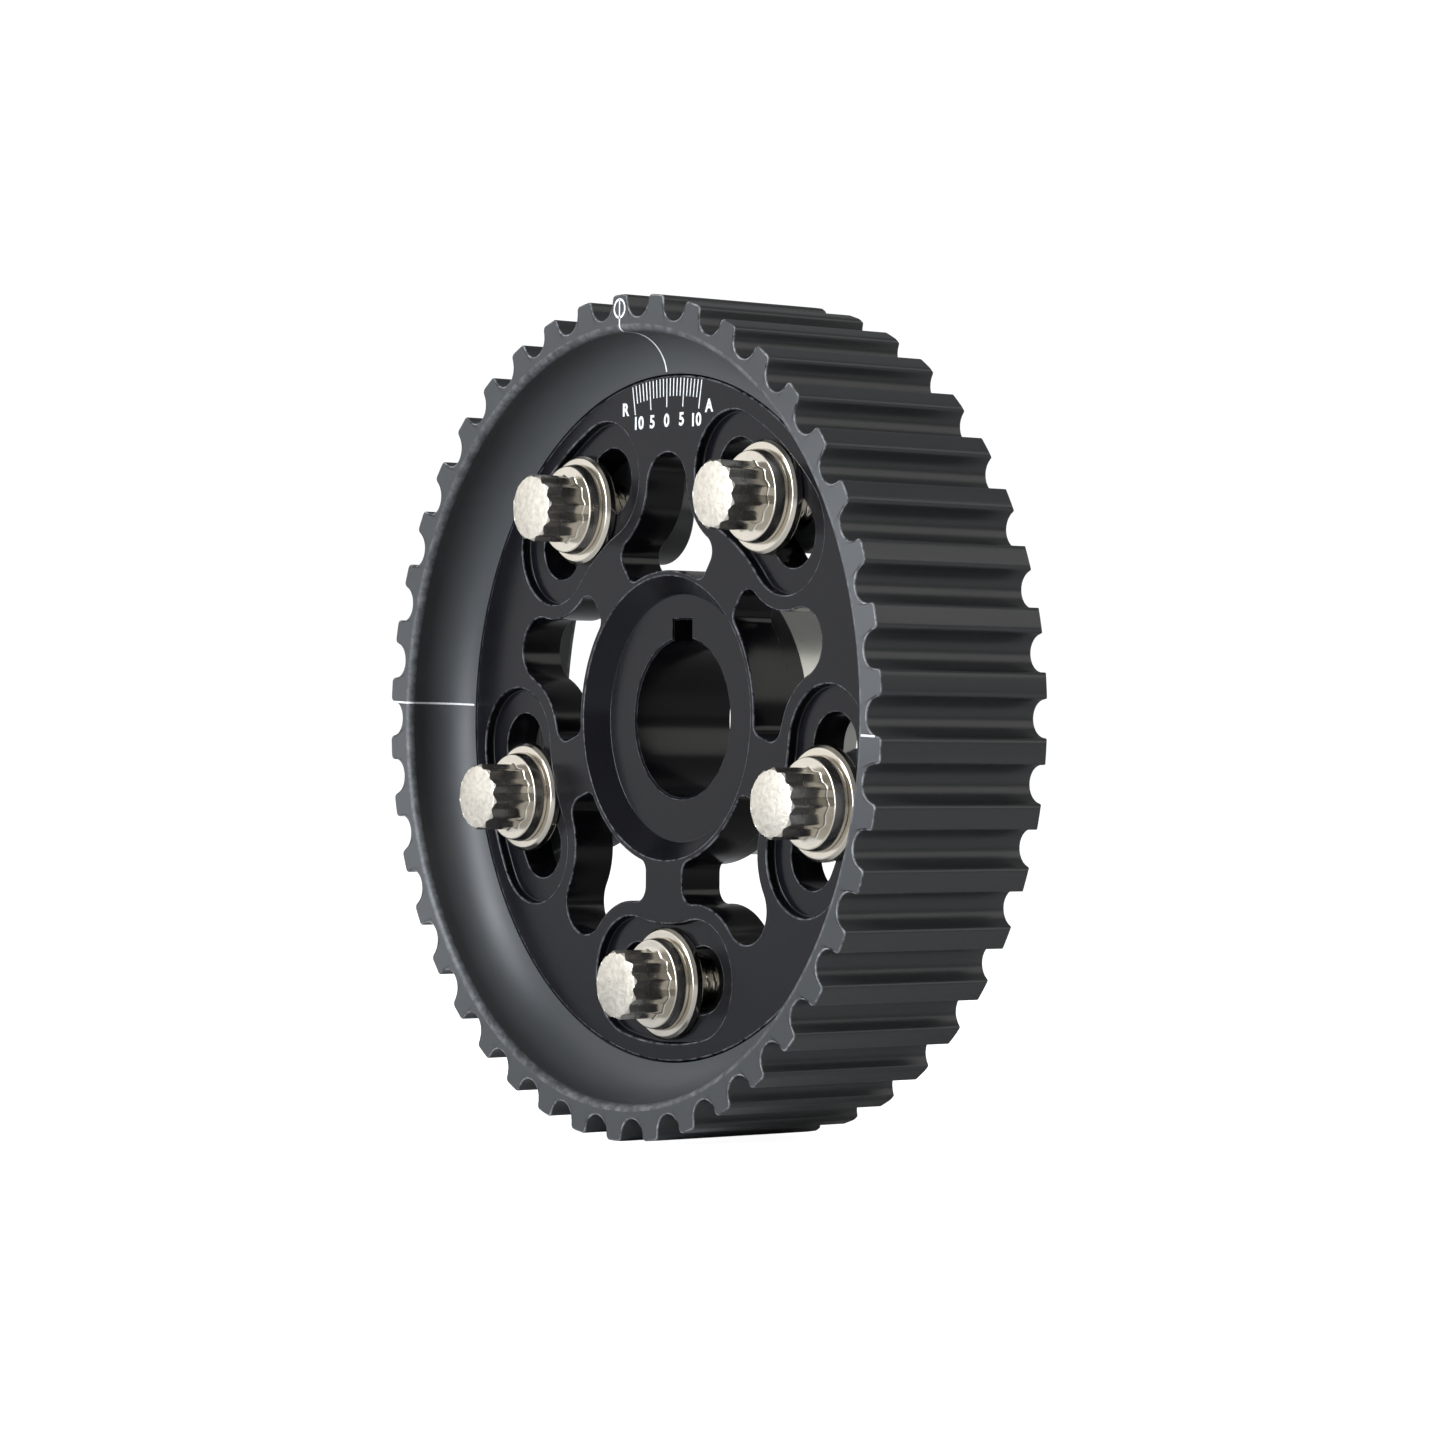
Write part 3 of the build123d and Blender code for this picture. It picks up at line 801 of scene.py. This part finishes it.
# ---------------------------------------------------------------------------------------------
# Washers.  Thick hard washers, turned with a bevelled front rim and polished under bright nickel
# plate, so their fronts mirror the bolts' flanges.
washer_low, washer_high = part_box("washer_1")
WASHER_RADIUS = (washer_high.x - washer_low.x) / 2
WASHER_FRONT, WASHER_REAR = washer_low.y, washer_high.y
WASHER_HOLE = 4.2 * MM
WASHER_BEVEL = 0.5 * MM
WASHER_START = WASHER_HOLE + 0.3 * MM  # where the profile starts and ends, on the flat front
WASHER_STEPS = 128


def to_bolt(sheet, angle):
    """A sheet moved from the shaft's axis to the axis of the bolt at an angle."""
    x, z = at(BOLT_CIRCLE, angle)
    return sheet + [x, 0, z, 0]


def round_piece(name, angle, profile):
    """A ring turned about a bolt's axis, from a closed profile of (radius, depth, wear) rows."""
    rays = circle(1, WASHER_STEPS)[0]
    sheet = np.stack([ring_of(rays * r, y, wear) for r, y, wear in profile])
    return solid(name, [to_bolt(sheet, angle)])


washer_profile = rounded(
    (WASHER_START, WASHER_FRONT, 0),
    (WASHER_RADIUS - WASHER_BEVEL, WASHER_FRONT, 0.25 * MM),
    (WASHER_RADIUS, WASHER_FRONT + WASHER_BEVEL, 0.25 * MM),
    (WASHER_RADIUS, WASHER_REAR, 0.2 * MM),
    (WASHER_HOLE, WASHER_REAR, 0.15 * MM),
    (WASHER_HOLE, WASHER_FRONT, 0.15 * MM),
    (WASHER_START, WASHER_FRONT, 0),
)
polished_nickel = finish(
    "polished_nickel",
    (0.25, 0.004 * MM),
    {"Metallic": 1.0},
    {
        "Tint": (0.76, 0.71, 0.62, 1),
        "Roughness": 0.17,
        "Smear": 0.14,
        "Marks": 0.0,
        "Pitch": 0.1 * MM,
        "Peel": 0.15,
    },
    metal,
)
for number, angle in enumerate(BOLT_ANGLES, 1):
    washer = round_piece(f"plated_washer_{number}", angle, washer_profile)
    washer.data.materials.append(polished_nickel)
    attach(washer, f"washer_{number}")
    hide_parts(f"washer_{number}")

# ---------------------------------------------------------------------------------------------
# Bolts.  Forged twelve-point flange bolts under bright nickel plate: a slightly domed crown with
# bevelled points, sheer fluted sides, a broad flange and a rolled right-hand thread.
bolt_low, bolt_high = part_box("clamp_bolt_1")
FLANGE_RADIUS = (bolt_high.x - bolt_low.x) / 2
CROWN, TAIL = bolt_low.y, bolt_high.y
FLANGE_REAR = WASHER_FRONT - 0.02 * MM
FLANGE_FRONT = FLANGE_REAR - 2.1 * MM
HEAD_RADIUS, HEAD_VALLEY = 5.25 * MM, 4.7 * MM
HEAD_DOME = 0.35 * MM
HEAD_BEVEL = 0.45 * MM
HEAD_FOOT, HEAD_FOOT_START = 0.3 * MM, 0.36 * MM
HEAD_STEPS = 192
HEAD_TURN = 17  # degrees from one bolt's head to the next, as wrenches leave them
CROWN_ZONE = 0.9 * MM  # the depth of head that keeps the crown's mottle
THREAD_RADIUS, THREAD_DEPTH, THREAD_PITCH = 4.0 * MM, 0.6 * MM, 1.25 * MM
PLAIN_SHANK = 3.0 * MM


def head_radius(bearings):
    """The fluted side: two hexagons crossed at 30 degrees, the further out of them at each bearing.

    A hexagon's side lies at its flat distance over the cosine of the bearing from the side's
    middle.  The sharp points are cut back to the forging's round.
    """
    flat = HEAD_VALLEY * math.cos(math.radians(15))
    to_flat = np.abs((bearings + 30) % 60 - 30)
    to_flat = np.maximum(to_flat, 30 - to_flat)
    side = flat / np.cos(np.radians(to_flat))
    return np.minimum(side, HEAD_RADIUS * 0.985)


def make_bolt(number, angle):
    bearings = np.linspace(0, 360, HEAD_STEPS + 1)[:-1]
    a = np.radians(bearings)
    rays = np.stack([np.sin(a), np.cos(a)], -1)
    star = head_radius(bearings)
    all_round = np.ones(HEAD_STEPS)
    rim = HEAD_RADIUS - HEAD_BEVEL

    def crown_depth(r):
        """The crown: a shallow dome out to the rim, then a 45 degree bevel."""
        dome = HEAD_DOME * np.minimum(r / rim, 1) ** 2
        return CROWN + dome + np.maximum(r - rim, 0)

    rows = []
    for share in (0.0, 0.25, 0.5, 0.75, 0.9):
        radius = rim * share * all_round
        rows.append((radius, crown_depth(radius)))
    for share in np.linspace(0, 1, 5):
        radius = rim * 0.97 + share * (star * 0.985 - rim * 0.97)
        rows.append((radius, crown_depth(radius)))
    top = crown_depth(star)
    rows.append((star * 0.997, top - 0.03 * MM))
    rows.append((star, top + 0.1 * MM))
    rows.append((star, top + 0.16 * MM))
    rows.append((star, (FLANGE_FRONT - HEAD_FOOT_START) * all_round))
    for t in np.radians(np.linspace(0, 90, 5)):
        foot = FLANGE_FRONT - HEAD_FOOT * (1 - np.sin(t))
        rows.append((star + HEAD_FOOT * (1 - np.cos(t)), foot * all_round))
    flange = rounded(
        (HEAD_RADIUS + 0.45 * MM, FLANGE_FRONT, 0),
        (FLANGE_RADIUS - 0.35 * MM, FLANGE_FRONT, 0.25 * MM),
        (FLANGE_RADIUS, FLANGE_REAR - 0.6 * MM, 0.3 * MM),
        (FLANGE_RADIUS, FLANGE_REAR, 0.15 * MM),
        (THREAD_RADIUS, FLANGE_REAR, -0.1 * MM),
        (THREAD_RADIUS, FLANGE_REAR + PLAIN_SHANK, 0),
    )
    rows += [(r * all_round, y * all_round) for r, y, _ in flange]
    start, stop = FLANGE_REAR + PLAIN_SHANK, TAIL
    depths = np.arange(start, stop, THREAD_PITCH / 9)
    depth, turn = np.meshgrid(depths, bearings / 360, indexing="ij")
    phase = ((depth - start) / THREAD_PITCH - turn) % 1
    ridge = np.clip(np.abs(phase - 0.5) * 2.5 - 0.12, 0, 1)
    fade_in = np.clip((depth - start) / THREAD_PITCH, 0, 1)
    lead_out = np.clip((stop - depth) / (0.8 * THREAD_PITCH), 0, 1)
    radius = THREAD_RADIUS - THREAD_DEPTH * (1 - ridge * lead_out) * fade_in
    rows += list(zip(radius, depth))
    rows.append(((THREAD_RADIUS - THREAD_DEPTH - 0.1 * MM) * all_round, stop * all_round))
    rows.append((0 * all_round, stop * all_round))
    sheet = np.stack(
        [np.column_stack([rays[:, 0] * r, y, rays[:, 1] * r, 0 * y]) for r, y in rows]
    )
    sheet = to_bolt(turned(number * HEAD_TURN, sheet), angle)
    sheet[..., 3] = sheet[..., 1] < CROWN + CROWN_ZONE
    return solid(f"plated_bolt_{number}", [sheet])


def plated_forging():
    """Nickel over a forging: smooth sides, and a crown that keeps the die's fine mottle."""
    tree, inside, outside = group_of(
        "plated forging",
        [("Tint", "Color", (0.7, 0.7, 0.7, 1)), ("Roughness", "Float", 0.15)],
        [("Color", "Color", None), ("Roughness", "Float", None), ("Height", "Float", None)],
    )
    place = node(tree, "TexCoord").outputs["Object"]
    crown = node(tree, "Attribute", {"attribute_name": "wear"}).outputs["Fac"]
    mottle = noise(tree, place, 1100.0, 4.0, 0.65)
    cloud = noise(tree, place, 350.0, 3.0)
    uneven = math_node(tree, "MULTIPLY_ADD", mottle, 0.9, -0.45)
    even = math_node(tree, "MULTIPLY_ADD", cloud, 0.2, 0.85)
    shade = math_node(tree, "MULTIPLY_ADD", uneven, crown, even)
    tint = scaled(tree, inside.outputs["Tint"], shade)
    rough = math_node(tree, "MULTIPLY_ADD", crown, 0.14, inside.outputs["Roughness"])
    rough = math_node(tree, "MULTIPLY_ADD", cloud, 0.08, rough)
    height = math_node(tree, "MULTIPLY", mottle, math_node(tree, "MULTIPLY_ADD", crown, 2.6, 0.04))
    give(tree, outside, Color=tint, Roughness=rough, Height=height)
    return tree


plated_steel = finish(
    "nickel_plated_steel",
    (1.0, 0.035 * MM),
    {"Metallic": 1.0},
    {"Tint": (0.8, 0.75, 0.66, 1), "Roughness": 0.15},
    plated_forging(),
)
for number, angle in enumerate(BOLT_ANGLES, 1):
    bolt = make_bolt(number, angle)
    bolt.data.materials.append(plated_steel)
    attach(bolt, f"bolt_{number}")
    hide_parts(f"clamp_bolt_{number}")

# ---------------------------------------------------------------------------------------------
# Dial and timing marks.  Laser-whitened lines in the anodising: a degree scale with its numbers
# on the plate, and index lines on the ring's face and down its bowl.
PROUD = 0.012 * MM
SUNK = 0.03 * MM
LINE = 0.22 * MM
SCALE_RADIUS = PLATE_RADIUS - 0.4 * MM
LONG_TICK, SHORT_TICK = 4.3 * MM, 2.7 * MM
# Each label's text, and the x and z of its middle in millimetres.
DIAL_LABELS = [
    ("10", -7.3, 44.6),
    ("5", -3.7, 44.6),
    ("0", 0, 44.6),
    ("5", 3.8, 44.6),
    ("10", 7.4, 44.3),
    ("R", -10.7, 46.8),
    ("A", 10.7, 46.2),
]
TYPE_SIZE, TYPE_WEIGHT, TYPE_SQUASH = 2.75 * MM, 0.085 * MM, 0.97
MARK_LINE, CIRCLE_LINE = 0.3 * MM, 0.34 * MM
CIRCLE_PLACE, CIRCLE_SIZE = 60.9 * MM, 1.35 * MM
LEFT_MARK, RIGHT_MARK = 272.45, 92.55


def strip(along, side, outward):
    """A thin strip: points along a line, spread to each side, from just under a face to over it."""
    low = along - outward * SUNK
    high = along + outward * PROUD
    return np.stack([high - side, high + side, low + side, low - side], 1)


def strips_piece(name, strips, bands=()):
    """Strips in one mesh: tubes of four-sided sections with flat ends, and bands that close up."""
    tubes = (*bands, *strips)
    sheets = [np.concatenate([tube, np.zeros((*tube.shape[:2], 1))], -1) for tube in tubes]
    flats = [[end] for sheet in sheets[len(bands):] for end in (sheet[0], sheet[-1])]
    return solid(name, sheets, flats)


def radial_strip(degrees, inner, outer, depth, width=LINE):
    """A straight line on a flat front face, along a radius."""
    ray, across = at(1.0, degrees), at(1.0, degrees + 90)
    r = np.linspace(outer, inner, 2)[:, None]
    along = np.column_stack([ray[0] * r[:, 0], np.full(2, depth), ray[1] * r[:, 0]])
    side = np.array([across[0], 0, across[1]]) * width / 2
    return strip(along, side, np.array([0, -1, 0.0]))


def face_and_bowl_strip(degrees, from_radius, width):
    """A line in from the ring's face, over the lip and down the bowl, on one bearing."""
    lip = np.radians(np.linspace(0, 90, 9))
    bowl = np.radians(np.linspace(0, 82, 25))
    lip_r = MOUTH_RADIUS + MOUTH_LIP * (1 - np.sin(lip))
    lip_y = RING_FRONT + MOUTH_LIP * (1 - np.cos(lip))
    bowl_r = MOUTH_RADIUS - BOWL_RADIUS * (1 - np.cos(bowl))
    bowl_y = PLATE_FRONT - BOWL_RADIUS + BOWL_RADIUS * np.sin(bowl)
    r = np.concatenate([[from_radius], lip_r, bowl_r])
    y = np.concatenate([[RING_FRONT], lip_y, bowl_y])
    out_r = np.concatenate([[0], -np.sin(lip), -np.cos(bowl)])
    out_y = np.concatenate([[-1], -np.cos(lip), -np.sin(bowl)])
    ray, across = at(1.0, degrees), at(1.0, degrees + 90)
    along = np.column_stack([ray[0] * r, y, ray[1] * r])
    outward = np.column_stack([ray[0] * out_r, out_y, ray[1] * out_r])
    side = np.array([across[0], 0, across[1]]) * width / 2
    return strip(along, side, outward)


def make_scale():
    lines = []
    for degree in range(-10, 11):
        inner = SCALE_RADIUS - (LONG_TICK if degree % 5 == 0 else SHORT_TICK)
        lines.append(radial_strip(degree, inner, SCALE_RADIUS, PLATE_FRONT))
    return strips_piece("dial_lines", lines)


def make_letters():
    """Numbers and letters of the dial, as flat type given the lines' thickness."""
    made = []
    for index, (text, x, z) in enumerate(DIAL_LABELS):
        curve = bpy.data.curves.new(f"type_{index}", "FONT")
        curve.body = text
        curve.size = TYPE_SIZE
        curve.align_x = "CENTER"
        curve.align_y = "CENTER"
        curve.offset = TYPE_WEIGHT
        curve.extrude = (PROUD + SUNK) / 2
        curve.resolution_u = 4
        piece = bpy.data.objects.new(f"type_{index}", curve)
        bpy.context.scene.collection.objects.link(piece)
        bpy.context.view_layer.update()
        mesh = bpy.data.meshes.new_from_object(piece)
        bpy.data.objects.remove(piece)
        low = Matrix.Diagonal((1.0, TYPE_SQUASH, 1.0, 1.0))
        upright = Matrix.Rotation(math.radians(90), 4, "X")
        place = Matrix.Translation((x * MM, PLATE_FRONT + (SUNK - PROUD) / 2, z * MM))
        mesh.transform(place @ upright @ low)
        made.append(mesh)
    joined = bpy.data.meshes.new("dial_numbers")
    points, faces = [], []
    for mesh in made:
        start = len(points)
        points += [tuple(v.co) for v in mesh.vertices]
        faces += [[start + v for v in f.vertices] for f in mesh.polygons]
        bpy.data.meshes.remove(mesh)
    joined.from_pydata(points, [], faces)
    piece = bpy.data.objects.new("dial_numbers", joined)
    bpy.context.scene.collection.objects.link(piece)
    return piece


def circle_strip(degrees, radius, ring_radius, depth, width):
    """A small ring drawn on a flat front face, as a flat band."""
    x, z = at(radius, degrees)
    a = np.radians(np.linspace(0, 360, 49))
    ray = np.column_stack([np.sin(a), 0 * a, np.cos(a)])
    along = np.array([x, depth, z]) + ray * ring_radius
    return strip(along, ray * width / 2, np.array([0, -1, 0.0]))


def make_ring_marks():
    top_circle = circle_strip(0, CIRCLE_PLACE, CIRCLE_SIZE, RING_FRONT, CIRCLE_LINE)
    lines = [
        face_and_bowl_strip(0, 62.3 * MM, MARK_LINE),
        face_and_bowl_strip(LEFT_MARK, 61.9 * MM, MARK_LINE),
        radial_strip(RIGHT_MARK, MOUTH_RADIUS + MOUTH_LIP, 61.6 * MM, RING_FRONT, MARK_LINE),
    ]
    return strips_piece("ring_marks", lines, [top_circle])


def white_fill():
    """Laser-whitened oxide: off-white, matt, with uneven cover."""
    material = bpy.data.materials.new("white_marking")
    material.use_nodes = True
    tree = material.node_tree
    surface = tree.nodes["Principled BSDF"]
    place = node(tree, "TexCoord").outputs["Object"]
    cover = noise(tree, place, 2500.0, 3.0)
    colour = node(tree, "ValToRGB", i0=cover)
    colour.color_ramp.elements[0].position = 0.3
    colour.color_ramp.elements[0].color = (0.72, 0.72, 0.73, 1)
    colour.color_ramp.elements[1].position = 0.55
    colour.color_ramp.elements[1].color = (0.9, 0.9, 0.9, 1)
    tree.links.new(colour.outputs[0], surface.inputs["Base Color"])
    rough = math_node(tree, "MULTIPLY_ADD", cover, 0.2, 0.5)
    tree.links.new(rough, surface.inputs["Roughness"])
    return material


marking = white_fill()
for piece, body, slot in (
    (make_scale(), "hub", "hub_anodised"),
    (make_letters(), "hub", "hub_anodised"),
    (make_ring_marks(), "ring", "ring_anodised"),
):
    piece.data.materials.append(marking)
    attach(piece, body)

# ---------------------------------------------------------------------------------------------
# Studio.  The pulley stands on its teeth on a plain pale floor, in soft light from large panels.
# The floor glows and the world is brighter for the camera alone, so the backdrop is even and
# the metal keeps its contrast.


def area_light(name, place, target, size, power, colour=(1, 1, 1)):
    """A soft panel at a place, aimed at a target."""
    data = bpy.data.lights.new(name, "AREA")
    data.shape = "RECTANGLE"
    data.size, data.size_y = size
    data.energy = power
    data.color = colour
    lamp = bpy.data.objects.new(name, data)
    bpy.context.scene.collection.objects.link(lamp)
    aim = Vector(target) - Vector(place)
    facing = aim.to_track_quat("-Z", "Y").to_matrix().to_4x4()
    lamp.matrix_world = Matrix.Translation(place) @ facing


def make_floor():
    mesh = bpy.data.meshes.new("floor")
    half = 6.0
    z = ring_low.z
    corners = [(-half, -half, z), (half, -half, z), (half, half, z), (-half, half, z)]
    mesh.from_pydata(corners, [], [(0, 1, 2, 3)])
    floor = bpy.data.objects.new("floor", mesh)
    bpy.context.scene.collection.objects.link(floor)
    material = bpy.data.materials.new("pale_floor")
    material.use_nodes = True
    tree = material.node_tree
    surface = tree.nodes["Principled BSDF"]
    surface.inputs["Base Color"].default_value = (0.8, 0.8, 0.8, 1)
    surface.inputs["Roughness"].default_value = 0.9
    surface.inputs["Specular IOR Level"].default_value = 0.1
    surface.inputs["Emission Color"].default_value = (1, 1, 1, 1)
    seen = node(tree, "LightPath").outputs["Is Camera Ray"]
    glow = math_node(tree, "MULTIPLY", seen, 0.95)
    tree.links.new(glow, surface.inputs["Emission Strength"])
    mesh.materials.append(material)


def make_world():
    world = bpy.data.worlds.new("studio")
    bpy.context.scene.world = world
    world.use_nodes = True
    tree = world.node_tree
    background = tree.nodes["Background"]
    background.inputs["Color"].default_value = (1, 1, 1, 1)
    seen = node(tree, "LightPath").outputs["Is Camera Ray"]
    strength = math_node(tree, "MULTIPLY_ADD", seen, 0.8, 0.25)
    tree.links.new(strength, background.inputs["Strength"])


def make_camera():
    """The camera, by bearing, height angle and roll, a long lens at arm's length."""
    bearing, height, roll = (math.radians(v) for v in (53.421, -0.402, 0.421))
    distance, across, above = 638.6 * MM, 3.57 * MM, -0.61 * MM
    level = math.cos(height)
    back = Vector((math.sin(bearing) * level, -math.cos(bearing) * level, math.sin(height)))
    right = Vector((0, 0, 1)).cross(back).normalized()
    up = back.cross(right)
    c, s = math.cos(roll), math.sin(roll)
    right, up = right * c + up * s, up * c - right * s
    data = bpy.data.cameras.new("camera")
    data.sensor_width = 36.0
    data.lens = 105.385
    camera = bpy.data.objects.new("camera", data)
    bpy.context.scene.collection.objects.link(camera)
    place = back * distance + right * across + up * above
    facing = Matrix((right, up, back)).transposed().to_4x4()
    camera.matrix_world = Matrix.Translation(place) @ facing
    bpy.context.scene.camera = camera


make_floor()
make_world()
make_camera()
area_light("key_panel", (-0.16, -0.95, 0.28), (0, 0, 0), (0.4, 0.75), 12.0, (0.88, 0.93, 1.0))
area_light("left_panel", (-0.85, -0.62, 0.1), (0, 0, 0), (0.9, 1.2), 2.6)
area_light("right_panel", (0.9, 0.55, 0.55), (0, 0, 0), (0.7, 0.7), 2.6, (1.0, 0.99, 0.93))
bpy.context.scene.view_settings.view_transform = "Standard"
bpy.context.scene.view_settings.look = "None"
